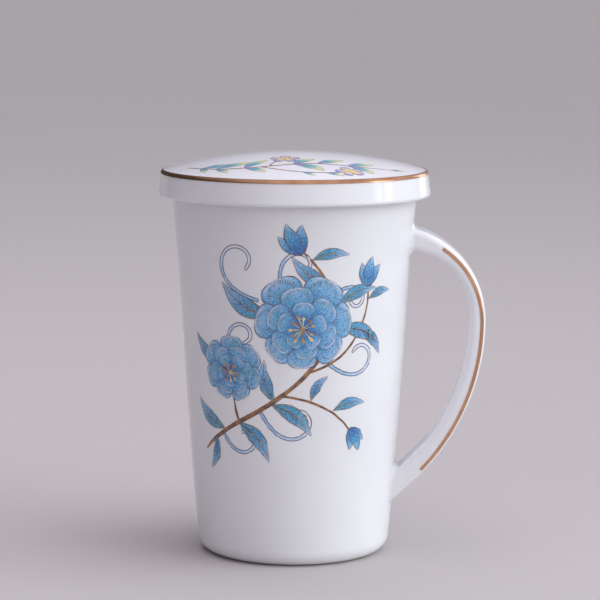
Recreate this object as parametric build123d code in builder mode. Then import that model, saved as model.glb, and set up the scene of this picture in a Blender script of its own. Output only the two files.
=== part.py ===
"""A lidded china tea cup: tapered beaker, bow handle, loose domed lid and gilded lines.

Millimetres, +Z up. The origin is the centre of the foot ring, on the table, and the handle points along +X.
"""

from build123d import *
from math import atan2, cos, degrees, radians, sin, tan
import os

os.makedirs("parts", exist_ok=True)

# Beaker
cup_height = 124.4
base_radius = 31.55  # of the wall, carried down to the table past the rounded heel
mouth_radius = 41.0
waist_drop = 49.2  # of the waist, where the wall's curve turns from convex to concave, down from the rim
waist_inset = 0.16  # of the wall there, in from a straight line between its base and its mouth
base_spread = 0.86  # how much more the wall leans out at its base than that line, in degrees
wall = 2.8
rim_thickness = 2.6
rim_flat = 0.1  # left between the rounded edges of the rim
heel_radius = 5.3
floor_height = 6.0  # of the inside of the floor above the table
floor_corner_radius = 9.0
foot_ring_width = 2.9
foot_recess = 1.6
foot_edge_radius = 0.6

# Handle, seen from the side: the bow is its outer line, the gap its inner line
handle_stand = 22.7  # of the bow's outermost point, out from the mouth
handle_thickness = 5.4  # at that point
bow_drop = 46.8  # of that point, down from the rim
bow_upper_radius = 32.2
bow_upper_turn = 70.0
bow_foot_stand = 8.4  # of the end of the bow's lower arc, out from the base
bow_foot_height = 23.8
gap_lift = 2.1  # of the gap's outermost point, above the bow's
gap_upper_inset = 10.5  # how much smaller the radius of the gap's upper arc is than the bow's
gap_upper_turn = 76.0
gap_foot_thickness = 6.12  # of the handle at the end of the gap's lower arc
gap_foot_turn = 14.1  # from there to the end of the bow's lower arc, in degrees
gap_heel_radius = 25.0
gap_heel_turn = 10.0
bow_width = 9.6  # across the handle, at the bow's outermost point
root_width = 14.74  # across the handle, carried in to the waist
handle_edge_radius = 2.2
handle_side_flat = 0.6  # left at least on the handle's sides, between their rounded edges
root_fillet = 2.4  # round the upper root
foot_fillet = 1.2  # round the lower root
slip_seam = 0.03  # of slip between each root and the wall

# Lid
lid_seat_gap = 0.3  # between the rim and the seat above it
lid_skirt_clearance = 0.9  # round the rim, inside the skirt
lid_edge_thickness = 2.55  # from the seat to the shoulder
lid_wall = 3.0  # at the crown
dome_rise = 6.05
shoulder_thickness = 2.2
shoulder_round = 1.3
skirt_depth = 5.85  # below the seat
skirt_flare = 0.6  # of the skirt's inside, from the seat to its foot
skirt_thickness = 2.65  # at its foot
skirt_edge_radius = 1.1
seat_round = 0.8
seat_margin = 1.0  # of the seat inside the rim

# Gilding
gold_thickness = 0.15
gold_on_dome = 0.65  # how far the lid's gold reaches over the dome from the shoulder's corner
gold_on_skirt = 0.95
gold_line_inset = 0.6  # from the handle's outer edge at the bow's outermost point, seen from the side
gold_line_width = 1.1
gold_line_tuck = 1.6  # how much tighter its upper arc is than the bow's
gold_line_top_gap = 13.5  # left bare at the top of the bow's upper arc, in degrees
gold_line_foot_gap = 4.1  # left bare at the foot of its lower arc, in degrees

# Sizes that follow
wall_widening = mouth_radius - base_radius
base_lean = degrees(atan2(wall_widening, cup_height)) + base_spread  # out from the vertical
waist_height = cup_height - waist_drop
waist_radius = base_radius + wall_widening * waist_height / cup_height - waist_inset
foot_inner_radius = base_radius - heel_radius - foot_ring_width
rim_round = (rim_thickness - rim_flat) / 2
blank_end = base_radius - heel_radius  # the handle's blank is cut off here, inside the wall
handle_reach = mouth_radius + handle_stand
gap_reach = handle_reach - handle_thickness
bow_height = cup_height - bow_drop
gap_height = bow_height + gap_lift
gap_upper_radius = bow_upper_radius - gap_upper_inset
handle_edge_round = min(handle_edge_radius, (handle_thickness - handle_side_flat) / 2)
lid_seat = cup_height + lid_seat_gap
skirt_inner_radius = mouth_radius + lid_skirt_clearance
seat_inner_radius = mouth_radius - rim_thickness - seat_margin
shoulder = (skirt_inner_radius + shoulder_thickness, lid_seat + lid_edge_thickness)
crown_height = lid_seat + lid_edge_thickness + dome_rise
skirt_foot = (skirt_inner_radius + skirt_flare + skirt_thickness, lid_seat - skirt_depth)


def lower_arc(reach, height, foot):
    """Radius and turn of an arc that leaves a point straight down and ends at a foot point."""
    run = reach - foot[0]
    drop = height - foot[1]
    radius = (run**2 + drop**2) / (2 * run)
    return radius, degrees(atan2(drop, radius - run))


bow_end = (base_radius + bow_foot_stand, bow_foot_height)
bow_lower_radius, bow_lower_turn = lower_arc(handle_reach, bow_height, bow_end)
gap_end_angle = radians(bow_lower_turn - gap_foot_turn)
gap_end_radius = bow_lower_radius - gap_foot_thickness  # from the centre of the bow's lower arc
gap_end = (
    handle_reach - bow_lower_radius + gap_end_radius * cos(gap_end_angle),
    bow_height - gap_end_radius * sin(gap_end_angle),
)
gap_lower_radius, gap_lower_turn = lower_arc(gap_reach, gap_height, gap_end)


def round_corner(sketch, corner, radius):
    """Round off the corner of a sketch that lies at a point."""
    fillet(sketch.vertices().sort_by_distance(corner)[0], radius)


def leaning(angle):
    """Direction in a half outline that leans outwards from the vertical by an angle in degrees."""
    return (sin(radians(angle)), cos(radians(angle)))


def wall_line(foot, inset, rim):
    """Draw half of the beaker's wall from a foot point to a point of the rim, inset from its outside."""
    waist = (waist_radius - inset, waist_height)
    belly = TangentArc(foot, waist, tangent=leaning(base_lean))
    TangentArc(waist, rim, tangent=belly % 1)


def beaker_solid(grow):
    """Solid of the beaker's outside, which the handle is fitted to."""
    with BuildPart() as solid:
        with BuildSketch(Plane.XZ):
            with BuildLine():
                base = (base_radius + grow, 0)
                rim = (mouth_radius + grow, cup_height)
                wall_line(base, -grow, rim)
                Polyline(rim, (0, cup_height), (0, 0), base)
            make_face()
        revolve(axis=Axis.Z)
    return solid.part.rotate(Axis.Z, 180)  # its seam is away from the handle


def run_in(arc):
    """Straight run from an arc's end, in its direction, to where the handle's blank is cut off."""
    end = arc @ 1
    way = arc % 1
    return Line(end, end + way * ((blank_end - end.X) / way.X))


def handle_solid(grow):
    """The handle before it is luted on, with its faces moved outwards by grow."""
    bow_point = (handle_reach + grow, bow_height)
    gap_point = (gap_reach - grow, gap_height)
    side_slope = (root_width - bow_width) / 2 / (handle_reach - waist_radius)
    far_end = handle_reach + handle_thickness
    root_half = root_width / 2 + side_slope * (waist_radius - blank_end) + grow
    far_half = bow_width / 2 - side_slope * handle_thickness + grow
    with BuildPart() as blank:
        with BuildSketch(Plane.XZ):
            with BuildLine():
                bow_top = JernArc(bow_point, (0, 1), bow_upper_radius + grow, bow_upper_turn)
                bow_foot = JernArc(bow_point, (0, -1), bow_lower_radius + grow, -bow_lower_turn)
                gap_top = JernArc(gap_point, (0, 1), gap_upper_radius - grow, gap_upper_turn)
                gap_foot = JernArc(gap_point, (0, -1), gap_lower_radius - grow, -gap_lower_turn)
                gap_heel = JernArc(gap_foot @ 1, gap_foot % 1, gap_heel_radius - grow, -gap_heel_turn)
                Line(run_in(bow_top) @ 1, run_in(gap_top) @ 1)
                Line(run_in(bow_foot) @ 1, run_in(gap_heel) @ 1)
            make_face()
        extrude(amount=root_half, both=True)
        with BuildSketch(Plane.XY):
            with BuildLine():
                Polyline(
                    (blank_end, -root_half),
                    (far_end, -far_half),
                    (far_end, far_half),
                    (blank_end, root_half),
                    close=True,
                )
            make_face()
        extrude(amount=cup_height, mode=Mode.INTERSECT)
        cut_ends = faces().sort_by(Axis.X)[:2].edges()
        sides = faces().sort_by(Axis.Y)
        long_edges = (sides[0].edges() + sides[-1].edges()) - cut_ends
        fillet(long_edges, handle_edge_round + grow)
    return blank.part


def lid_outside():
    """Half outline of the lid's outside, from the crown to the foot of the skirt."""
    TangentArc((0, crown_height), shoulder, tangent=(1, 0))
    Line(shoulder, skirt_foot)


# Beaker, cast in one with its floor and foot ring
with BuildPart() as cup_body:
    with BuildSketch(Plane.XZ) as cup_section:
        base = (base_radius, 0)
        rim = (mouth_radius, cup_height)
        floor_corner = (base_radius - wall + tan(radians(base_lean)) * floor_height, floor_height)
        rim_inside = (mouth_radius - rim_thickness, cup_height)
        recess_corner = (foot_inner_radius - foot_recess, foot_recess)
        with BuildLine():
            wall_line(base, 0, rim)
            wall_line(floor_corner, wall, rim_inside)
            Line(rim, rim_inside)
            Polyline(
                floor_corner,
                (0, floor_height),
                (0, foot_recess),
                recess_corner,
                (foot_inner_radius, 0),
                base,
            )
        make_face()
        round_corner(cup_section, rim, rim_round)
        round_corner(cup_section, rim_inside, rim_round)
        round_corner(cup_section, base, heel_radius)
        round_corner(cup_section, floor_corner, floor_corner_radius)
        round_corner(cup_section, (foot_inner_radius, 0), foot_edge_radius)
        round_corner(cup_section, recess_corner, foot_recess)
    revolve(axis=Axis.Z)
cup_body.part.label = "cup_body"
export_step(cup_body.part, "parts/cup_body.step")

# Handle: its roots are blended into the wall, and it ends on the wall's face
handle_blank = handle_solid(0)
beaker = beaker_solid(0)
with BuildPart() as handle:
    add(beaker)
    add(handle_blank)
    for low, high, radius in ((0, bow_height, foot_fillet), (bow_height, cup_height, root_fillet)):
        joins = new_edges(beaker, handle_blank, combined=handle.part)
        fillet(joins.filter_by_position(Axis.Z, low, high), radius)
    add(beaker_solid(slip_seam), mode=Mode.SUBTRACT)
handle.part.label = "handle"
export_step(handle.part, "parts/handle.step")

# Gold lines along the two outer edges of the handle
with BuildPart() as handle_gold_line_front:
    add(handle_solid(gold_thickness))
    with BuildSketch(Plane.XZ):
        with BuildLine():
            tips = []
            for inset in (gold_line_inset, gold_line_inset + gold_line_width):
                start = (handle_reach - inset, bow_height)
                upper_turn = bow_upper_turn - gold_line_top_gap
                lower_turn = bow_lower_turn - gold_line_foot_gap
                upper = JernArc(start, (0, 1), bow_upper_radius - gold_line_tuck - inset, upper_turn)
                lower = JernArc(start, (0, -1), bow_lower_radius - inset, -lower_turn)
                tips.append((upper @ 1, lower @ 1))
            for outer_tip, inner_tip in zip(*tips):
                Line(outer_tip, inner_tip)
        make_face()
    extrude(amount=root_width, mode=Mode.INTERSECT)
    add(handle_blank, mode=Mode.SUBTRACT)
handle_gold_line_front.part.label = "handle_gold_line_front"
export_step(handle_gold_line_front.part, "parts/handle_gold_line_front.step")

with BuildPart() as handle_gold_line_back:
    add(handle_gold_line_front.part)
    mirror(about=Plane.XZ, mode=Mode.REPLACE)
handle_gold_line_back.part.label = "handle_gold_line_back"
export_step(handle_gold_line_back.part, "parts/handle_gold_line_back.step")

# Lid: a shallow dome with a flared skirt that goes outside the rim
with BuildPart() as lid:
    with BuildSketch(Plane.XZ) as lid_section:
        seat_corner = (skirt_inner_radius, lid_seat)
        skirt_inner_foot = (skirt_inner_radius + skirt_flare, lid_seat - skirt_depth)
        with BuildLine():
            lid_outside()
            underside_top = (0, crown_height - lid_wall)
            seat_edge = (seat_inner_radius, lid_seat)
            TangentArc(underside_top, seat_edge, tangent=(1, 0))
            Polyline(
                seat_edge,
                seat_corner,
                skirt_inner_foot,
                skirt_foot,
            )
            Line(underside_top, (0, crown_height))
        make_face()
        round_corner(lid_section, shoulder, shoulder_round)
        round_corner(lid_section, seat_corner, seat_round)
        round_corner(lid_section, skirt_foot, skirt_edge_radius)
        round_corner(lid_section, skirt_inner_foot, skirt_edge_radius)
    revolve(axis=Axis.Z)
lid.part.label = "lid"
export_step(lid.part, "parts/lid.step")

# Gold band round the lid's shoulder
with BuildSketch() as lid_silhouette:
    with BuildLine():
        lid_outside()
        Polyline(skirt_foot, (0, lid_seat - skirt_depth), (0, crown_height))
    make_face()
    round_corner(lid_silhouette, shoulder, shoulder_round)
with BuildPart() as lid_gold_band:
    with BuildSketch(Plane.XZ):
        add(lid_silhouette.sketch)
        offset(amount=gold_thickness)
        add(lid_silhouette.sketch, mode=Mode.SUBTRACT)
        band_size = gold_on_dome + gold_on_skirt
        with Locations((shoulder[0] - gold_on_dome, shoulder[1] - gold_on_skirt)):
            Rectangle(band_size, band_size, align=Align.MIN, mode=Mode.INTERSECT)
    revolve(axis=Axis.Z)
lid_gold_band.part.label = "lid_gold_band"
export_step(lid_gold_band.part, "parts/lid_gold_band.step")
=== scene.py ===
"""Finish of a lidded china tea cup: glaze, gilding, printed flowers and a small studio stage."""

import math
import random

import bpy
from bpy.props import FloatProperty, FloatVectorProperty, PointerProperty
from bpy.types import Operator, Panel, PropertyGroup, Scene
from mathutils import Matrix, Vector


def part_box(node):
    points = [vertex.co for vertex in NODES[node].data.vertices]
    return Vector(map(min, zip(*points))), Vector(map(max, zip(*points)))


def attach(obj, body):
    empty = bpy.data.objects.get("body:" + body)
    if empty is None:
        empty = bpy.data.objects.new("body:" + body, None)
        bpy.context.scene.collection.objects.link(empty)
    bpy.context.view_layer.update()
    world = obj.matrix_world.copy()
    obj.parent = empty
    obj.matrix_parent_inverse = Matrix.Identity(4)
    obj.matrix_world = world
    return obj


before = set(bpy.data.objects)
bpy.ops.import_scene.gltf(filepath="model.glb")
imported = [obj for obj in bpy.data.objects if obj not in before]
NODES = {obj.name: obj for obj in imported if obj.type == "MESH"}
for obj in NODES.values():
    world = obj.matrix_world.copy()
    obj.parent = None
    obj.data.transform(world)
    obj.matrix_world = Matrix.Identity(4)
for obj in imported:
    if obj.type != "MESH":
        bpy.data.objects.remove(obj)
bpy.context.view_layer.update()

bl_info = {
    "name": "Lidded tea cup finish",
    "version": (1, 0, 0),
    "blender": (4, 5, 0),
    "location": "3D View > Sidebar > Tea Cup",
    "description": "Glazes, gilds and decorates a lidded tea cup, and sets it on a stage",
    "category": "Object",
}

MM = 0.001
MOUTH_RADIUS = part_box("cup_body")[1].x
LID_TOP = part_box("lid")[1].z
CHINA_NODES = ("cup_body", "handle", "lid")
GILDED_NODES = ("lid_gold_band", "handle_gold_line_front", "handle_gold_line_back")

# A print is drawn flat, bent to a radius just outside the mouth, and then laid on the wall
BEND_RADIUS = MOUTH_RADIUS + 1 * MM
PRINT_RADIUS = 37 * MM  # of the wall at the middle of the print, where its sizes are true
WELD_DISTANCE = 0.01 * MM  # points of a stroke that are nearer than this become one
SMOOTH_ANGLE = math.radians(40)

# Faces along a stroke from point to point, and across a line and a hairline
STROKE_STEPS = 5
LINE_COLUMNS = 4
HAIRLINE_COLUMNS = 2

# Scales of the noise in the finishes
GLAZE_CLOUD_SCALE = 35
GLAZE_GLOSS_SCALE = 220
GLAZE_RIPPLE_SCALE = 90
GOLD_PATCH_SCALE = 160
GOLD_STREAK_SCALE = 900
ENAMEL_CAST_SCALE = 210
ENAMEL_GRAIN_SCALE = 2100
LINE_PATCH_SCALE = 420
WASH_PATCH_SCALE = 500
FLOOR_PATCH_SCALE = 2

# Spans of a noise over which one look turns into another
NOISE_SPAN = (0.3, 0.7)  # holds most values of a noise
CLOUD_SPAN = (0.35, 0.65)
THIN_GOLD_SPAN = (0.4, 0.75)
THIN_LINE_SPAN = (0.42, 0.66)
TEAL_CAST_SPAN = (0.5, 0.68)
DARK_SPECK_SPAN = (0.54, 0.64)
LIGHT_SPECK_SPAN = (0.44, 0.36)

# Strength of the teal cast and of the specks in the enamel
TEAL_CAST = 0.55
DARK_SPECK = 0.75
LIGHT_SPECK = 0.5
SPECK_FADE_SPAN = (0.55, 0.95)  # places along a stroke
SPECK_AT_TIP = 0.15

# How far streaks and patches shift a colour along a stroke, and how the streaks are drawn out
ENAMEL_SHIFT = 0.1
ENAMEL_STREAKS = (2, 26, 1)
SPRIG_SHIFT = 0.22
SPRIG_STREAKS = (3, 14, 1)
WASH_SHIFT = 0.2

# Heights of the relief in the finishes
GLAZE_RIPPLE = 0.03 * MM
GOLD_STREAK = 0.02 * MM
ENAMEL_GRAIN = 0.02 * MM

GLAZE_END = (0.35 * MM, 0.2 * MM)  # heights on the foot ring, from glazed to bare
GLAZE_UNEVENNESS = 0.03  # more roughness where the glaze is duller
BARE_ROUGHNESS = 0.5  # more roughness where there is no glaze
GOLD_ROUGHNESS = (0.17, 0.3)  # where the gold is thick and where it is thin
ENAMEL_ROUGHNESS = 0.24
LINE_ROUGHNESS = 0.28
WASH_ROUGHNESS = 0.2
SPRIG_ROUGHNESS = 0.22
FLOOR_ROUGHNESS = 0.8


def colour(name, description, default):
    """A colour that a user may change."""
    return FloatVectorProperty(
        name=name, description=description, subtype="COLOR", size=3, min=0, max=1, default=default
    )


def length(name, description, default):
    """A length in metres that a user may change."""
    return FloatProperty(
        name=name, description=description, unit="LENGTH", precision=5, default=default
    )


class ChinaSettings(PropertyGroup):
    """White bone china under a clear glaze."""

    body: colour("China", "White of the glazed china", (0.86, 0.862, 0.875))
    shade: colour("Shade", "Faint shade in the glaze", (0.825, 0.825, 0.845))
    biscuit: colour("Biscuit", "Unglazed china on the foot ring", (0.74, 0.71, 0.66))
    glaze_roughness: FloatProperty(
        name="Glaze roughness", description="Roughness of the glaze", min=0, max=1, default=0.07
    )


class GildingSettings(PropertyGroup):
    """Rose gold lustre, fired on the glaze."""

    bright: colour("Gold", "Burnished rose gold", (0.77, 0.45, 0.265))
    worn: colour("Worn gold", "Gold where it is thin", (0.56, 0.285, 0.15))


class PrintSettings(PropertyGroup):
    """Overglaze colours, line width and layers of the prints."""

    deep_blue: colour("Deep blue", "Speckles and the hearts of petals", (0.035, 0.15, 0.42))
    blue: colour("Blue", "Main blue of petals and leaves", (0.1, 0.34, 0.6))
    sky_blue: colour("Sky blue", "Light blue towards the edges", (0.3, 0.55, 0.8))
    pale_blue: colour("Pale blue", "Tips of petals", (0.66, 0.72, 0.86))
    mist: colour("Mist", "Pale wash in the tendrils", (0.76, 0.79, 0.87))
    teal: colour("Teal", "Green cast in the blue", (0.07, 0.36, 0.42))
    brown_line: colour("Brown line", "Outlines of petals and leaves", (0.16, 0.085, 0.06))
    gold_brown: colour("Gold brown", "Stamens and stems", (0.42, 0.21, 0.09))
    slate_line: colour("Slate line", "Outlines of tendrils", (0.17, 0.19, 0.33))
    lavender: colour("Lavender", "Lavender of the lid's sprig", (0.36, 0.33, 0.72))
    mint: colour("Mint", "Green of the lid's sprig", (0.36, 0.62, 0.52))
    straw: colour("Straw", "Yellow of the lid's sprig", (0.88, 0.74, 0.32))
    line_width: length("Line width", "Width of the outlines", 0.3 * MM)
    film: length("Film", "Thickness of the enamel", 0.015 * MM)
    layer: length("Layer", "Step between the layers of the print", 0.02 * MM)


class StageSettings(PropertyGroup):
    """Floor, light and camera."""

    floor: colour("Floor", "Pale floor", (0.54, 0.51, 0.5))
    key_light: colour("Key light", "Cool light from the right", (0.885, 0.98, 1))
    fill_light: colour("Fill light", "Soft light from all round", (0.935, 0.89, 1))
    camera_distance: length("Camera distance", "From the cup's axis, level", 831.6 * MM)
    camera_height: length("Camera height", "Of the camera above the floor", 195.3 * MM)
    camera_lens: FloatProperty(
        name="Lens", description="Focal length in millimetres", default=151.1
    )


def select_only(piece):
    """Make a piece the only one selected, and the active one."""
    bpy.ops.object.select_all(action="DESELECT")
    piece.select_set(True)
    bpy.context.view_layer.objects.active = piece


def apply_modifier(piece, name, kind, **values):
    """Add a modifier to a piece, set it and apply it."""
    modifier = piece.modifiers.new(name, kind)
    for key, value in values.items():
        setattr(modifier, key, value)
    select_only(piece)
    bpy.ops.object.modifier_apply(modifier=name)


def new_material(name):
    """An empty material with its node tree, and its shader."""
    material = bpy.data.materials.new(name)
    material.use_nodes = True
    return material, material.node_tree, material.node_tree.nodes["Principled BSDF"]


def add_node(tree, kind, inputs=None, **values):
    """Add a node, set its values, and set or link its inputs."""
    node = tree.nodes.new(kind)
    for key, value in values.items():
        setattr(node, key, value)
    for key, value in (inputs or {}).items():
        if isinstance(value, bpy.types.NodeSocket):
            tree.links.new(value, node.inputs[key])
        else:
            node.inputs[key].default_value = value
    return node


def rgba(value):
    """A colour with full alpha."""
    return (*value, 1)


def noise(tree, coordinates, scale, detail=2.0):
    """Noise from 0 to 1 on given coordinates."""
    return add_node(
        tree, "ShaderNodeTexNoise", {"Vector": coordinates, "Scale": scale, "Detail": detail}
    ).outputs["Fac"]


def ramp(tree, factor, stops):
    """Colour ramp through (place, colour) stops."""
    node = add_node(tree, "ShaderNodeValToRGB", {"Fac": factor})
    elements = node.color_ramp.elements
    while len(elements) < len(stops):
        elements.new(0.5)
    for element, (place, value) in zip(elements, stops):
        element.position = place
        element.color = rgba(value)
    return node.outputs["Color"]


def stretch(tree, value, low, high, to_low=0.0, to_high=1.0, way="LINEAR"):
    """Map a value from one range to another."""
    return add_node(
        tree,
        "ShaderNodeMapRange",
        {"Value": value, "From Min": low, "From Max": high, "To Min": to_low, "To Max": to_high},
        interpolation_type=way,
    ).outputs["Result"]


def arithmetic(tree, operation, first, second):
    """Sum or product of two values."""
    return add_node(tree, "ShaderNodeMath", {0: first, 1: second}, operation=operation).outputs[0]


def blend(tree, factor, first, second):
    """Mix two colours."""
    node = add_node(tree, "ShaderNodeMix", data_type="RGBA")
    for socket, value in (("Factor_Float", factor), ("A_Color", first), ("B_Color", second)):
        target = next(item for item in node.inputs if item.identifier == socket)
        if isinstance(value, bpy.types.NodeSocket):
            tree.links.new(value, target)
        else:
            target.default_value = value
    return next(item for item in node.outputs if item.identifier == "Result_Color")


def bump(tree, shader, height, distance):
    """Raise a shader's surface by a height from 0 to 1, over a distance in metres."""
    node = add_node(tree, "ShaderNodeBump", {"Height": height, "Distance": distance, "Strength": 1})
    tree.links.new(node.outputs["Normal"], shader.inputs["Normal"])


def object_coordinates(tree):
    """The piece's own coordinates, in metres."""
    return add_node(tree, "ShaderNodeTexCoord").outputs["Object"]


def stroke_uv(tree):
    """The UV map of a stroke, along it and across it."""
    return add_node(tree, "ShaderNodeUVMap", uv_map="UVMap").outputs["UV"]


def along_stroke(tree, uv):
    """Place along a stroke, from 0 at its foot to 1 at its tip."""
    return add_node(tree, "ShaderNodeSeparateXYZ", {"Vector": uv}).outputs["X"]


def streaked_place(tree, streaks, shift):
    """Place along a stroke, shifted to and fro by streaks of the brush."""
    uv = stroke_uv(tree)
    drawn_out = add_node(tree, "ShaderNodeMapping", {"Vector": uv, "Scale": streaks})
    streak = noise(tree, drawn_out.outputs["Vector"], 1, 3)
    moved = stretch(tree, streak, *NOISE_SPAN, -shift, shift)
    return arithmetic(tree, "ADD", along_stroke(tree, uv), moved)


def glazed_china(settings):
    """Glossy white china with a faint ripple in its glaze and a bare foot ring."""
    material, tree, shader = new_material("glazed_china")
    place = object_coordinates(tree)
    height = add_node(tree, "ShaderNodeSeparateXYZ", {"Vector": place}).outputs["Z"]
    foot = stretch(tree, height, *GLAZE_END)
    cloud = stretch(tree, noise(tree, place, GLAZE_CLOUD_SCALE), *CLOUD_SPAN)
    white = blend(tree, cloud, rgba(settings.shade), rgba(settings.body))
    tree.links.new(blend(tree, foot, white, rgba(settings.biscuit)), shader.inputs["Base Color"])
    glossy = settings.glaze_roughness
    dull = glossy + GLAZE_UNEVENNESS
    glaze = stretch(tree, noise(tree, place, GLAZE_GLOSS_SCALE), *NOISE_SPAN, glossy, dull)
    bare = arithmetic(tree, "MULTIPLY", foot, BARE_ROUGHNESS)
    tree.links.new(arithmetic(tree, "ADD", glaze, bare), shader.inputs["Roughness"])
    bump(tree, shader, noise(tree, place, GLAZE_RIPPLE_SCALE), GLAZE_RIPPLE)
    return material


def rose_gold(settings):
    """Burnished gold lustre, thinner in places, with the streaks of the brush."""
    material, tree, shader = new_material("rose_gold")
    place = object_coordinates(tree)
    thin = stretch(tree, noise(tree, place, GOLD_PATCH_SCALE, 4), *THIN_GOLD_SPAN)
    tree.links.new(
        blend(tree, thin, rgba(settings.bright), rgba(settings.worn)), shader.inputs["Base Color"]
    )
    shader.inputs["Metallic"].default_value = 1
    tree.links.new(stretch(tree, thin, 0, 1, *GOLD_ROUGHNESS), shader.inputs["Roughness"])
    bump(tree, shader, noise(tree, place, GOLD_STREAK_SCALE, 3), GOLD_STREAK)
    return material


def speckled_enamel(name, settings, stops):
    """Speckled overglaze colour that runs from a petal's or leaf's foot to its tip."""
    material, tree, shader = new_material(name)
    place = object_coordinates(tree)
    along = streaked_place(tree, ENAMEL_STREAKS, ENAMEL_SHIFT)
    wash = ramp(tree, along, stops)
    cast = stretch(tree, noise(tree, place, ENAMEL_CAST_SCALE), *TEAL_CAST_SPAN, 0, TEAL_CAST)
    washed = blend(tree, cast, wash, rgba(settings.teal))
    grain = noise(tree, place, ENAMEL_GRAIN_SCALE, 1)
    fade = stretch(tree, along, *SPECK_FADE_SPAN, 1, SPECK_AT_TIP)
    dark = stretch(tree, grain, *DARK_SPECK_SPAN, 0, DARK_SPECK)
    light = stretch(tree, grain, *LIGHT_SPECK_SPAN, 0, LIGHT_SPECK)
    dark, light = (arithmetic(tree, "MULTIPLY", speck, fade) for speck in (dark, light))
    dotted = blend(tree, dark, washed, rgba(settings.deep_blue))
    tree.links.new(blend(tree, light, dotted, rgba(settings.sky_blue)), shader.inputs["Base Color"])
    shader.inputs["Roughness"].default_value = ENAMEL_ROUGHNESS
    bump(tree, shader, grain, ENAMEL_GRAIN)
    return material


def line_enamel(name, thick, thin):
    """Colour of a drawn line, thinner in places."""
    material, tree, shader = new_material(name)
    patch = noise(tree, object_coordinates(tree), LINE_PATCH_SCALE)
    worn = stretch(tree, patch, *THIN_LINE_SPAN)
    tree.links.new(blend(tree, worn, rgba(thick), rgba(thin)), shader.inputs["Base Color"])
    shader.inputs["Roughness"].default_value = LINE_ROUGHNESS
    return material


def plain_wash(name, first, second):
    """Wash of two colours inside an outline, from a stroke's foot to its tip."""
    material, tree, shader = new_material(name)
    patch = noise(tree, object_coordinates(tree), WASH_PATCH_SCALE)
    moved = stretch(tree, patch, *NOISE_SPAN, -WASH_SHIFT, WASH_SHIFT)
    along = arithmetic(tree, "ADD", along_stroke(tree, stroke_uv(tree)), moved)
    tree.links.new(ramp(tree, along, ((0.1, first), (0.7, second))), shader.inputs["Base Color"])
    shader.inputs["Roughness"].default_value = WASH_ROUGHNESS
    return material


def sprig_wash(name, settings):
    """Soft wash of lavender, mint and straw along a leaf, with fine streaks."""
    material, tree, shader = new_material(name)
    along = streaked_place(tree, SPRIG_STREAKS, SPRIG_SHIFT)
    stops = (
        (0.05, settings.lavender),
        (0.28, settings.teal),
        (0.5, settings.mint),
        (0.72, settings.straw),
        (0.95, settings.mint),
    )
    tree.links.new(ramp(tree, along, stops), shader.inputs["Base Color"])
    shader.inputs["Roughness"].default_value = SPRIG_ROUGHNESS
    return material


def make_pen(columns):
    """A straight nib, one unit to each side, that draws flat strokes."""
    bpy.ops.object.select_all(action="DESELECT")
    bpy.ops.curve.primitive_nurbs_path_add()
    pen = bpy.context.object
    pen.data.dimensions = "2D"
    pen.data.splines.clear()
    nib = pen.data.splines.new("POLY")
    nib.points.add(columns)
    for index, point in enumerate(nib.points):
        point.co = (2 * index / columns - 1, 0, 0, 1)
    return pen


def draw_stroke(name, points, columns=LINE_COLUMNS):
    """A flat stroke along points of x, y and half width in millimetres, with its UV map."""
    pen = make_pen(columns)
    bpy.ops.object.select_all(action="DESELECT")
    bpy.ops.curve.primitive_nurbs_path_add()
    stroke = bpy.context.object
    stroke.name = name
    path = stroke.data.splines[0]
    if len(points) < len(path.points):
        stroke.data.splines.clear()
        path = stroke.data.splines.new("NURBS")
    path.points.add(len(points) - len(path.points))
    for point, (x, y, half_width) in zip(path.points, points):
        point.co = (x * MM, y * MM, 0, 1)
        point.radius = half_width * MM
    path.order_u = 4
    path.use_endpoint_u = True
    path.resolution_u = STROKE_STEPS
    stroke.data.dimensions = "2D"
    stroke.data.fill_mode = "NONE"
    stroke.data.bevel_mode = "OBJECT"
    stroke.data.bevel_object = pen
    select_only(stroke)
    bpy.ops.object.convert(target="MESH")
    bpy.data.objects.remove(pen)
    bpy.ops.object.mode_set(mode="EDIT")
    bpy.ops.mesh.select_all(action="SELECT")
    bpy.ops.mesh.remove_doubles(threshold=WELD_DISTANCE)
    bpy.ops.object.mode_set(mode="OBJECT")
    return stroke


def paint(stroke, materials):
    """Give a flat stroke its materials."""
    for material in materials:
        stroke.data.materials.append(material)
    return stroke


def outline_stroke(stroke, width):
    """Give a flat stroke a border, whose faces take the second material."""
    select_only(stroke)
    bpy.ops.object.mode_set(mode="EDIT")
    bpy.ops.mesh.select_mode(type="FACE")
    bpy.ops.mesh.select_all(action="SELECT")
    bpy.ops.mesh.inset(thickness=width, use_boundary=True, use_even_offset=True)
    bpy.ops.object.mode_set(mode="OBJECT")
    for face in stroke.data.polygons:
        face.material_index = 0 if face.select else 1
    return stroke


def copy_to(master, u, v, turn, size=1.0, wide=1.0):
    """A copy of a flat piece, moved to (u, v) in millimetres, turned in degrees and scaled."""
    select_only(master)
    bpy.ops.object.duplicate(linked=False)
    piece = bpy.context.object
    piece.location = (u * MM, v * MM, 0)
    piece.rotation_euler.z = math.radians(turn)
    piece.scale = (size, size * wide, size)
    bpy.ops.object.transform_apply()
    return piece


def wrap_on_wall(piece, lift, film):
    """Bend a flat print round the cup, lay it on the glaze and give it its thickness."""
    select_only(piece)
    piece.scale.x = BEND_RADIUS / PRINT_RADIUS
    bpy.ops.object.transform_apply()
    piece.rotation_euler.x = math.radians(90)
    bpy.ops.object.transform_apply()
    apply_modifier(
        piece,
        "Bend",
        "SIMPLE_DEFORM",
        deform_method="BEND",
        deform_axis="Z",
        angle=piece.dimensions.x / BEND_RADIUS,
    )
    piece.location.y = -BEND_RADIUS
    bpy.ops.object.transform_apply()
    lay_on(piece, "cup_body", lift, film)


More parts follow.
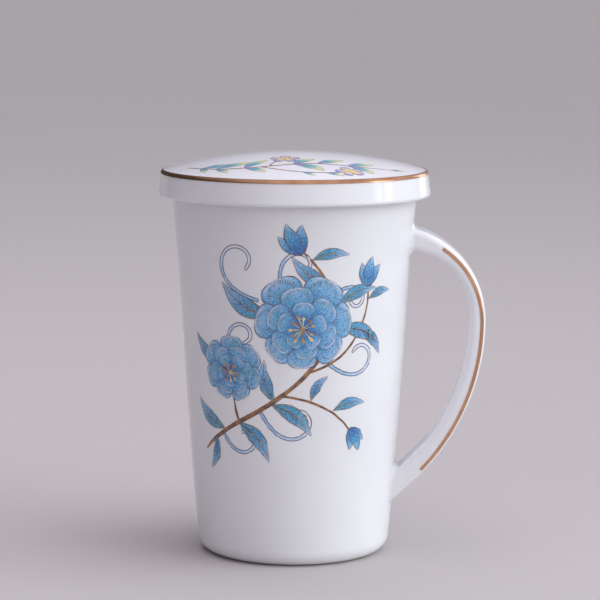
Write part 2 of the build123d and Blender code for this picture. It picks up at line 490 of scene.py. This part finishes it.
def lay_on(piece, node, lift, film):
    """Lay a print on the nearest face of a node, and give it its thickness."""
    apply_modifier(
        piece,
        "Lay",
        "SHRINKWRAP",
        target=NODES[node],
        wrap_method="NEAREST_SURFACEPOINT",
        wrap_mode="ABOVE_SURFACE",
        offset=lift,
    )
    apply_modifier(piece, "Film", "SOLIDIFY", thickness=film, offset=1)


def join_strokes(strokes):
    """Join strokes into one."""
    bpy.ops.object.select_all(action="DESELECT")
    for stroke in strokes:
        stroke.select_set(True)
    bpy.context.view_layer.objects.active = strokes[0]
    bpy.ops.object.join()
    return bpy.context.object


def finish_print(strokes, name, body):
    """Join laid strokes into one piece of a body."""
    piece = join_strokes(strokes)
    piece.name = name
    piece.data.name = name
    select_only(piece)
    bpy.ops.object.shade_smooth_by_angle(angle=SMOOTH_ANGLE)
    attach(piece, body)


def finish_nodes(names, material):
    """Give CAD nodes a material."""
    for name in names:
        NODES[name].data.materials.clear()
        NODES[name].data.materials.append(material)


class TEACUP_OT_glaze(Operator):
    """Glaze the cup, its handle and its lid"""

    bl_idname = "teacup.glaze"
    bl_label = "Glaze the china"

    def execute(self, context):
        finish_nodes(CHINA_NODES, glazed_china(context.scene.teacup_china))
        return {"FINISHED"}


class TEACUP_OT_gild(Operator):
    """Gild the lid's shoulder and the handle's edges"""

    bl_idname = "teacup.gild"
    bl_label = "Gild the lines"

    def execute(self, context):
        finish_nodes(GILDED_NODES, rose_gold(context.scene.teacup_gilding))
        return {"FINISHED"}


class PrintStep:
    """What the steps of the print share. Strokes are points of x, y and half width in millimetres."""

    def lift(self, layer):
        """Height of a layer of the print above the glaze."""
        return layer * bpy.context.scene.teacup_print.layer

    def wrap(self, piece, layer):
        """Lay a flat piece on the wall, in a layer of the print."""
        wrap_on_wall(piece, self.lift(layer), bpy.context.scene.teacup_print.film)
        return piece

    def strokes(self, name, lines, columns=LINE_COLUMNS):
        """Flat strokes, one for each line of points."""
        return [draw_stroke(name, line, columns) for line in lines]


class TEACUP_OT_print_tendrils(PrintStep, Operator):
    """Print outlined tendrils that curl away from the stems"""

    bl_idname = "teacup.print_tendrils"
    bl_label = "Print the tendrils"

    # Where each starts, its heading in degrees, its length, and how far it curls in degrees
    tendrils = (
        (-9, 88, 166, 42, -340),
        (-2, 93, 96, 26, -310),
        (13.5, 67.5, -38, 33, 320),
        (-9, 51.5, -62, 37, 330),
        (-24, 44, -60, 27, 310),
        (-19, 68, 112, 27, -320),
        (16, 91, 24, 20, -310),
    )
    joints = 14
    half_width = 0.66
    first_layer = 0.5
    layer_step = 0.2

    def curl(self, u, v, heading, length, turn):
        """Points along a line that curls more and more."""
        points = [(u, v, self.half_width)]
        for step in range(1, self.joints):
            way = math.radians(heading + turn * (step / self.joints) ** 2)
            u += length / self.joints * math.cos(way)
            v += length / self.joints * math.sin(way)
            points.append((u, v, self.half_width))
        return [*points, (u, v, 0)]

    def execute(self, context):
        settings = context.scene.teacup_print
        wash = plain_wash("tendril_wash", settings.sky_blue, settings.mist)
        line = line_enamel("slate_line", settings.slate_line, settings.brown_line)
        pieces = []
        for number, tendril in enumerate(self.tendrils):
            stroke = draw_stroke("tendril", self.curl(*tendril))
            paint(outline_stroke(stroke, settings.line_width), (wash, line))
            pieces.append(self.wrap(stroke, self.first_layer + self.layer_step * number))
        finish_print(pieces, "print_tendrils", "cup")
        return {"FINISHED"}


class TEACUP_OT_print_stems(PrintStep, Operator):
    """Print the stems of the spray"""

    bl_idname = "teacup.print_stems"
    bl_label = "Print the stems"

    layer = 2
    stems = (
        (
            (-33, 37, 0.4),
            (-26, 43, 0.8),
            (-12, 50, 0.75),
            (2, 59, 0.7),
            (13, 71, 0.65),
            (17, 85, 0.5),
            (12, 97, 0.4),
            (5, 104, 0.3),
        ),
        ((6.5, 64.6, 0.4), (16, 67, 0.4), (24, 75, 0.35), (28, 86, 0.3), (27, 93, 0.25)),
        ((-17, 47.8, 0.4), (-19, 54, 0.4), (-19.5, 62, 0.35), (-19.5, 63, 0.3)),
        ((-1.5, 57, 0.4), (8, 56, 0.4), (17, 52, 0.35), (22, 45, 0.25)),
    )

    def execute(self, context):
        settings = context.scene.teacup_print
        bark = line_enamel("stem_line", settings.brown_line, settings.gold_brown)
        strokes = self.strokes("stem", self.stems)
        pieces = [self.wrap(paint(stroke, (bark,)), self.layer) for stroke in strokes]
        finish_print(pieces, "print_stems", "cup")
        return {"FINISHED"}


class TEACUP_OT_print_leaves(PrintStep, Operator):
    """Print the speckled leaves and their veins"""

    bl_idname = "teacup.print_leaves"
    bl_label = "Print the leaves"

    blade = (
        (0, 0, 0.25),
        (3, 0.6, 1.7),
        (7, 1.2, 3.4),
        (12, 0.7, 3.0),
        (16, -0.8, 1.4),
        (19.5, -2.6, 0.25),
        (19.5, -2.6, 0),
    )
    blade_columns = 10
    midrib = (
        (-0.6, 0, 0.2),
        (3, 0.6, 0.18),
        (7, 1.2, 0.16),
        (12, 0.7, 0.13),
        (16, -0.8, 0.1),
        (18.2, -1.9, 0.06),
    )
    # From the midrib to the edge, in pairs
    veins = tuple(
        (
            (x, 0.2 * x - 0.012 * x * x, 0.11),
            (x + 1.6, side * 0.9 + 0.5, 0.1),
            (x + 2.6, side * 1.75 + 0.4, 0.06),
        )
        for x in (3.2, 5.6, 8.0, 10.4)
        for side in (1, -1)
    )
    # Leaves that cross each other lie in different layers
    first_layer = 3
    layer_step = 0.2
    layers = 4
    vein_layer = 4.4
    # Foot, turn in degrees and size of each leaf
    leaves = (
        (-23, 45, 152, 0.8),
        (-17, 47.5, -42, 0.85),
        (-5, 54, -30, 0.85),
        (-4, 55, 112, 0.72),
        (17, 79, -14, 0.85),
        (17, 87, 26, 0.72),
        (14, 93.5, 152, 0.78),
        (8, 101.5, 14, 0.6),
        (25, 78, -38, 0.62),
        (8, 55.6, 62, 0.5),
        (16, 52, 16, 0.62),
        (-5, 83, 156, 1.0),
        (-24, 67, 150, 0.72),
        (27.5, 88, 20, 0.5),
        (-27, 42, -100, 0.6),
    )

    def execute(self, context):
        settings = context.scene.teacup_print
        enamel = speckled_enamel(
            "leaf_enamel",
            settings,
            (
                (0.0, settings.teal),
                (0.35, settings.blue),
                (0.72, settings.sky_blue),
                (0.97, settings.pale_blue),
            ),
        )
        line = line_enamel("leaf_line", settings.brown_line, settings.gold_brown)
        blade = draw_stroke("leaf", self.blade, self.blade_columns)
        paint(outline_stroke(blade, settings.line_width), (enamel, line))
        ribs = join_strokes(self.strokes("vein", (self.midrib, *self.veins), HAIRLINE_COLUMNS))
        paint(ribs, (line,))
        blades, veins = [], []
        for number, place in enumerate(self.leaves):
            layer = self.first_layer + self.layer_step * (number % self.layers)
            blades.append(self.wrap(copy_to(blade, *place), layer))
            veins.append(self.wrap(copy_to(ribs, *place), self.vein_layer))
        for master in (blade, ribs):
            bpy.data.objects.remove(master)
        finish_print(blades, "print_leaves", "cup")
        finish_print(veins, "print_leaf_veins", "cup")
        return {"FINISHED"}


class TEACUP_OT_print_blossoms(PrintStep, Operator):
    """Print the blossoms and buds"""

    bl_idname = "teacup.print_blossoms"
    bl_label = "Print the blossoms"

    petal = (
        (0, 0, 0.5),
        (3, 0, 1.4),
        (7, 0, 4.4),
        (11, 0, 6.4),
        (14.2, 0, 5.8),
        (15.4, 0, 3.2),
        (15.4, 0, 0),
    )
    bud_petal = (
        (0, 0, 0.6),
        (2.5, 0.3, 2.2),
        (6, 0.5, 2.9),
        (9.5, 0, 1.3),
        (11.5, -0.7, 0.2),
        (11.5, -0.7, 0),
    )
    stamen = (
        (0, 0, 0.14),
        (2.4, 0, 0.13),
        (3.6, 0, 0.13),
        (3.9, 0, 0.5),
        (4.6, 0, 0.55),
        (5.0, 0, 0.4),
        (5.0, 0, 0),
    )
    # Centre, size and turn in degrees of each blossom
    blossoms = ((5, 79, 1.0, 12), (-19.5, 64, 0.7, 40))
    # Petals in each ring, their size and width, and the turn of the ring in degrees
    rings = ((7, 1.0, 0.95, 0), (6, 0.76, 1.0, 26), (5, 0.5, 1.05, 8))
    # Foot, turn in degrees and size of each bud
    buds = ((5, 103.5, 122, 0.95), (27, 92, 86, 0.85), (22, 45.5, -58, 0.75))
    # Lean in degrees and size of each petal of a bud, the front one last
    bud_petals = ((26, 0.86), (-26, 0.86), (0, 1))
    stamens = 11
    petal_columns = 12
    bud_columns = 8

    # Range of chance in the turns in degrees and in the sizes
    petal_turn = (-5, 5)
    petal_size = (0.94, 1.06)
    stamen_turn = (-9, 9)
    stamen_size = (0.75, 1.1)
    upward_growth = 0.13  # by which the uppermost petals are larger

    # The hatching follows an ellipse in the petal's rim
    hatch_centre = 9.4
    hatch_reach = (5.7, 4.9)
    hatch_angles = range(-64, 65, 8)
    hatch_start = 0.86
    hatch_stagger = 0.05
    hatch_cycle = 3
    hatch_widths = (0.05, 0.12, 0.1)

    # Layers of the print: the lowest, the steps upwards, and the hatching above its petal
    first_layer = 5
    petal_step = 0.35
    ring_step = 0.6
    stamen_step = 0.2
    stamen_layers = 3
    hatch_lift = 0.18

    def hatch(self):
        """Short lines inside a petal's rim, from its middle outwards."""
        lines = []
        for degrees in self.hatch_angles:
            angle = math.radians(degrees)
            x, y = self.hatch_reach[0] * math.cos(angle), self.hatch_reach[1] * math.sin(angle)
            start = self.hatch_start - self.hatch_stagger * (degrees % self.hatch_cycle)
            parts = zip((start, (start + 1) / 2, 1), self.hatch_widths)
            lines.append([(self.hatch_centre + part * x, part * y, width) for part, width in parts])
        return lines

    def bloom(self, petal, hatch, stamen, u, v, size, turn):
        """Petals of one blossom, ring on ring, their hatching, and its stamens."""
        chance = random.Random(int(u * 10 + v))
        petals, lines, filaments, layer = [], [], [], self.first_layer
        for count, ring_size, wide, ring_turn in self.rings:
            for number in range(count):
                angle = turn + ring_turn + 360 * number / count + chance.uniform(*self.petal_turn)
                growth = 1 + self.upward_growth * math.sin(math.radians(angle))
                scale = size * ring_size * growth * chance.uniform(*self.petal_size)
                place = (u, v, angle, scale, wide)
                petals.append(self.wrap(copy_to(petal, *place), layer))
                lines.append(self.wrap(copy_to(hatch, *place), layer + self.hatch_lift))
                layer += self.petal_step
            layer += self.ring_step
        for number in range(self.stamens):
            angle = turn + 360 * number / self.stamens + chance.uniform(*self.stamen_turn)
            piece = copy_to(stamen, u, v, angle, size * chance.uniform(*self.stamen_size))
            lift = self.stamen_step * (number % self.stamen_layers)
            filaments.append(self.wrap(piece, layer + lift))
        return petals, lines, filaments

    def execute(self, context):
        settings = context.scene.teacup_print
        enamel = speckled_enamel(
            "petal_enamel",
            settings,
            (
                (0.12, settings.deep_blue),
                (0.4, settings.blue),
                (0.7, settings.sky_blue),
                (0.93, settings.pale_blue),
            ),
        )
        line = line_enamel("petal_line", settings.brown_line, settings.slate_line)
        gold = line_enamel("stamen_line", settings.gold_brown, settings.straw)
        petal = draw_stroke("petal", self.petal, self.petal_columns)
        bud_petal = draw_stroke("bud_petal", self.bud_petal, self.bud_columns)
        for outlined in (petal, bud_petal):
            paint(outline_stroke(outlined, settings.line_width), (enamel, line))
        hatch = join_strokes(self.strokes("hatch", self.hatch(), HAIRLINE_COLUMNS))
        paint(hatch, (line,))
        stamen = paint(draw_stroke("stamen", self.stamen), (gold,))
        groups = ([], [], [])
        for blossom in self.blossoms:
            for group, more in zip(groups, self.bloom(petal, hatch, stamen, *blossom)):
                group.extend(more)
        for u, v, turn, size in self.buds:
            for number, (lean, part) in enumerate(self.bud_petals):
                piece = copy_to(bud_petal, u, v, turn + lean, size * part)
                groups[0].append(self.wrap(piece, self.first_layer + number))
        for master in (petal, bud_petal, hatch, stamen):
            bpy.data.objects.remove(master)
        for group, name in zip(groups, ("print_petals", "print_petal_lines", "print_stamens")):
            finish_print(group, name, "cup")
        return {"FINISHED"}


class TEACUP_OT_print_lid(PrintStep, Operator):
    """Print a small flowering sprig on the lid's dome"""

    bl_idname = "teacup.print_lid"
    bl_label = "Print the lid"

    leaf = (
        (0, 0, 0.2),
        (3, 0.5, 1.7),
        (7, 0.8, 3.0),
        (11, 0.2, 2.2),
        (14.5, -0.9, 0.2),
        (14.5, -0.9, 0),
    )
    petal = (
        (0, 0, 0.4),
        (1.6, 0, 1.3),
        (3.6, 0, 2.1),
        (5.0, 0, 1.3),
        (5.0, 0, 0),
    )
    stems = (
        (
            (-35, -17, 0.15),
            (-29, -26, 0.3),
            (-16, -32, 0.32),
            (-2, -28, 0.32),
            (10, -23, 0.3),
            (23, -25, 0.25),
            (33, -20, 0.15),
        ),
        ((-9, -29.7, 0.25), (-1, -35.5, 0.25), (9, -37, 0.22), (17, -34, 0.18), (20, -31, 0.15)),
        ((-6.1, -29.1, 0.25), (-6.5, -25, 0.22), (-4, -21.5, 0.2), (-2, -18.5, 0.15)),
    )
    # Foot, turn in degrees and size of each leaf
    leaves = (
        (-29.8, -23.3, -4, 0.85),
        (-29.8, -23.3, -72, 0.5),
        (-24.5, -27.3, 22, 0.9),
        (-24.5, -27.3, -54, 0.55),
        (-14.6, -30.1, 58, 0.85),
        (-14.6, -30.1, -36, 0.65),
        (1.3, -26.5, 58, 0.75),
        (1.3, -26.5, -28, 0.85),
        (9.1, -24.6, 50, 0.8),
        (18.9, -24.1, 44, 0.75),
        (18.9, -24.1, -28, 0.75),
        (33, -20, 30, 0.4),
        (4.5, -35.8, -34, 0.4),
        (12.2, -35.3, -12, 0.45),
    )
    # Centre and turn in degrees of each blossom
    blossoms = ((-2, -18.5, 20), (20, -31, 50))
    petals = 5
    leaf_columns = 8
    petal_columns = 6
    line_share = 0.6  # of the width of the outlines on the cup

    # Layers of the print. Leaves and petals that cross each other lie in different ones
    leaf_layer = 0.6
    leaf_layers = 4
    stem_layer = 2.4
    petal_layer = 3.4
    layer_step = 0.3

    def lay(self, stroke, layer):
        """Lay a flat stroke on the lid's dome, in a layer of the print."""
        select_only(stroke)
        stroke.location.z = LID_TOP
        bpy.ops.object.transform_apply()
        lay_on(stroke, "lid", self.lift(layer), bpy.context.scene.teacup_print.film)
        return stroke

    def execute(self, context):
        settings = context.scene.teacup_print
        line_width = settings.line_width * self.line_share
        wash = sprig_wash("sprig_wash", settings)
        blush = plain_wash("sprig_blush", settings.straw, settings.lavender)
        line = line_enamel("sprig_line", settings.brown_line, settings.gold_brown)
        leaf = draw_stroke("sprig_leaf", self.leaf, self.leaf_columns)
        paint(outline_stroke(leaf, line_width), (wash, line))
        petal = draw_stroke("sprig_petal", self.petal, self.petal_columns)
        paint(outline_stroke(petal, line_width), (blush, line))
        pieces = []
        for number, place in enumerate(self.leaves):
            layer = self.leaf_layer + self.layer_step * (number % self.leaf_layers)
            pieces.append(self.lay(copy_to(leaf, *place), layer))
        for stroke in self.strokes("sprig_stem", self.stems, HAIRLINE_COLUMNS):
            pieces.append(self.lay(paint(stroke, (line,)), self.stem_layer))
        for u, v, turn in self.blossoms:
            for number in range(self.petals):
                angle = turn + 360 * number / self.petals
                layer = self.petal_layer + self.layer_step * number
                pieces.append(self.lay(copy_to(petal, u, v, angle), layer))
        for master in (leaf, petal):
            bpy.data.objects.remove(master)
        finish_print(pieces, "print_lid_sprig", "lid")
        return {"FINISHED"}


class TEACUP_OT_stage(Operator):
    """Set up the floor, the lights and the camera"""

    bl_idname = "teacup.stage"
    bl_label = "Set the stage"

    floor_size = 40.0
    floor_shades = (0.99, 1.01)

    # Tilt from straight down, turn and spread of the key light in degrees
    key_tilt = 74
    key_turn = 79
    key_spread = 70
    key_energy = 2.3

    # Name, azimuth and elevation in degrees, width and height in metres, power, and whether the
    # glaze mirrors it or it lights the china
    lamps = (
        ("window_pane_near", 77.4, 13, (0.165, 0.5), 0.58, True),
        ("window_pane_far", 88.4, 13, (0.185, 0.5), 0.65, True),
        ("window_pane_back", 145, 13, (0.4, 0.5), 0.95, True),
        ("top_fill", 0, 90, (1, 1), 6.3, False),
    )
    lamp_distance = 1.2

    # Sides that the light from all round comes from, and its levels away from each and towards it
    bright_side = (0.68, -0.36, 0.7)
    fill_span = (-0.45, 0.8)
    fill_levels = (0.07, 0.74)
    back_wall = (0.07, 0.995, 0.07)
    glow_span = (0.93, 1)
    glow_levels = (0, 0.2)

    sensor_width = 36
    camera_azimuth = 3.5
    camera_pitch = 7.64
    camera_yaw = 0.135
    camera_roll = 0.253

    def execute(self, context):
        settings = context.scene.teacup_stage
        self.lay_floor(settings)
        self.light(settings)
        self.set_camera(context, settings)
        context.scene.view_settings.view_transform = "Standard"
        return {"FINISHED"}

    def lay_floor(self, settings):
        """A pale floor, out to the horizon."""
        bpy.ops.object.select_all(action="DESELECT")
        bpy.ops.mesh.primitive_plane_add(size=self.floor_size)
        floor = bpy.context.object
        floor.name = "floor"
        material, tree, shader = new_material("floor")
        cloud = noise(tree, object_coordinates(tree), FLOOR_PATCH_SCALE)
        patch = stretch(tree, cloud, *NOISE_SPAN, *self.floor_shades)
        shade = add_node(
            tree, "ShaderNodeVectorMath", {0: settings.floor, "Scale": patch}, operation="SCALE"
        )
        tree.links.new(shade.outputs["Vector"], shader.inputs["Base Color"])
        shader.inputs["Roughness"].default_value = FLOOR_ROUGHNESS
        shader.inputs["Specular IOR Level"].default_value = 0
        floor.data.materials.append(material)

    def light(self, settings):
        """A soft key from the right, windows that the glaze mirrors, and a fill from all round."""
        rotation = (math.radians(self.key_tilt), 0, math.radians(self.key_turn))
        bpy.ops.object.light_add(type="SUN", rotation=rotation)
        sun = bpy.context.object
        sun.data.energy = self.key_energy
        sun.data.angle = math.radians(self.key_spread)
        sun.visible_glossy = False
        sun.data.color = settings.key_light
        for name, azimuth, elevation, size, power, mirrored in self.lamps:
            tint = settings.key_light if mirrored else settings.fill_light
            lamp = self.add_window(name, azimuth, elevation, size, power, tint)
            lamp.visible_diffuse = not mirrored
            lamp.visible_glossy = mirrored
        self.fill(settings)

    def fill(self, settings):
        """Light from all round, strongest from the right and above, with a faint glow from behind."""
        world = bpy.context.scene.world or bpy.data.worlds.new("world")
        bpy.context.scene.world = world
        world.use_nodes = True
        tree = world.node_tree
        background = tree.nodes["Background"]
        background.inputs["Color"].default_value = rgba(settings.fill_light)
        fill = self.from_side(tree, self.bright_side, self.fill_span, self.fill_levels)
        glow = self.from_side(tree, self.back_wall, self.glow_span, self.glow_levels)
        tree.links.new(arithmetic(tree, "ADD", fill, glow), background.inputs["Strength"])

    def from_side(self, tree, side, span, levels):
        """Level of the world's light, which rises smoothly towards a side."""
        direction = add_node(tree, "ShaderNodeTexCoord").outputs["Generated"]
        toward = add_node(
            tree, "ShaderNodeVectorMath", {0: direction, 1: side}, operation="DOT_PRODUCT"
        ).outputs["Value"]
        return stretch(tree, toward, *span, *levels, way="SMOOTHSTEP")

    def add_window(self, name, azimuth, elevation, size, power, tint):
        """A soft rectangular light that faces the cup from an azimuth and an elevation."""
        middle = Vector((0, 0, LID_TOP / 2))
        turn, rise = math.radians(azimuth), math.radians(elevation)
        level = math.cos(rise)
        way = Vector((math.sin(turn) * level, -math.cos(turn) * level, math.sin(rise)))
        bpy.ops.object.light_add(type="AREA", location=middle + way * self.lamp_distance)
        lamp = bpy.context.object
        lamp.name = name
        lamp.rotation_euler = way.to_track_quat("Z", "Y").to_euler()
        lamp.data.shape = "RECTANGLE"
        lamp.data.size, lamp.data.size_y = size
        lamp.data.energy = power
        lamp.data.color = tint
        return lamp

    def set_camera(self, context, settings):
        """The camera stands a little to the handle's side and looks down on the cup."""
        azimuth = math.radians(self.camera_azimuth)
        bpy.ops.object.camera_add()
        camera = bpy.context.object
        turn = Matrix.Rotation(azimuth - math.radians(self.camera_yaw), 4, "Z")
        tilt = Matrix.Rotation(math.radians(90 - self.camera_pitch), 4, "X")
        roll = Matrix.Rotation(math.radians(self.camera_roll), 4, "Z")
        stand = Vector((math.sin(azimuth), -math.cos(azimuth), 0)) * settings.camera_distance
        stand.z = settings.camera_height
        camera.matrix_world = Matrix.Translation(stand) @ turn @ tilt @ roll
        camera.data.sensor_width = self.sensor_width
        camera.data.lens = settings.camera_lens
        context.scene.camera = camera


class VIEW3D_PT_teacup(Panel):
    """Steps of the tea cup's finish"""

    bl_label = "Tea Cup"
    bl_space_type = "VIEW_3D"
    bl_region_type = "UI"
    bl_category = "Tea Cup"

    def draw(self, context):
        for step in STEPS:
            self.layout.operator(step.bl_idname)


STEPS = (
    TEACUP_OT_glaze,
    TEACUP_OT_gild,
    TEACUP_OT_print_tendrils,
    TEACUP_OT_print_stems,
    TEACUP_OT_print_leaves,
    TEACUP_OT_print_blossoms,
    TEACUP_OT_print_lid,
    TEACUP_OT_stage,
)
SETTINGS = {
    "teacup_china": ChinaSettings,
    "teacup_gilding": GildingSettings,
    "teacup_print": PrintSettings,
    "teacup_stage": StageSettings,
}
CLASSES = (*SETTINGS.values(), *STEPS, VIEW3D_PT_teacup)


def register():
    for item in CLASSES:
        bpy.utils.register_class(item)
    for name, group in SETTINGS.items():
        setattr(Scene, name, PointerProperty(type=group))


def unregister():
    for name in SETTINGS:
        delattr(Scene, name)
    for item in reversed(CLASSES):
        bpy.utils.unregister_class(item)


def main():
    register()
    bpy.ops.teacup.glaze()
    bpy.ops.teacup.gild()
    bpy.ops.teacup.print_tendrils()
    bpy.ops.teacup.print_stems()
    bpy.ops.teacup.print_leaves()
    bpy.ops.teacup.print_blossoms()
    bpy.ops.teacup.print_lid()
    bpy.ops.teacup.stage()


if __name__ == "__main__":
    main()
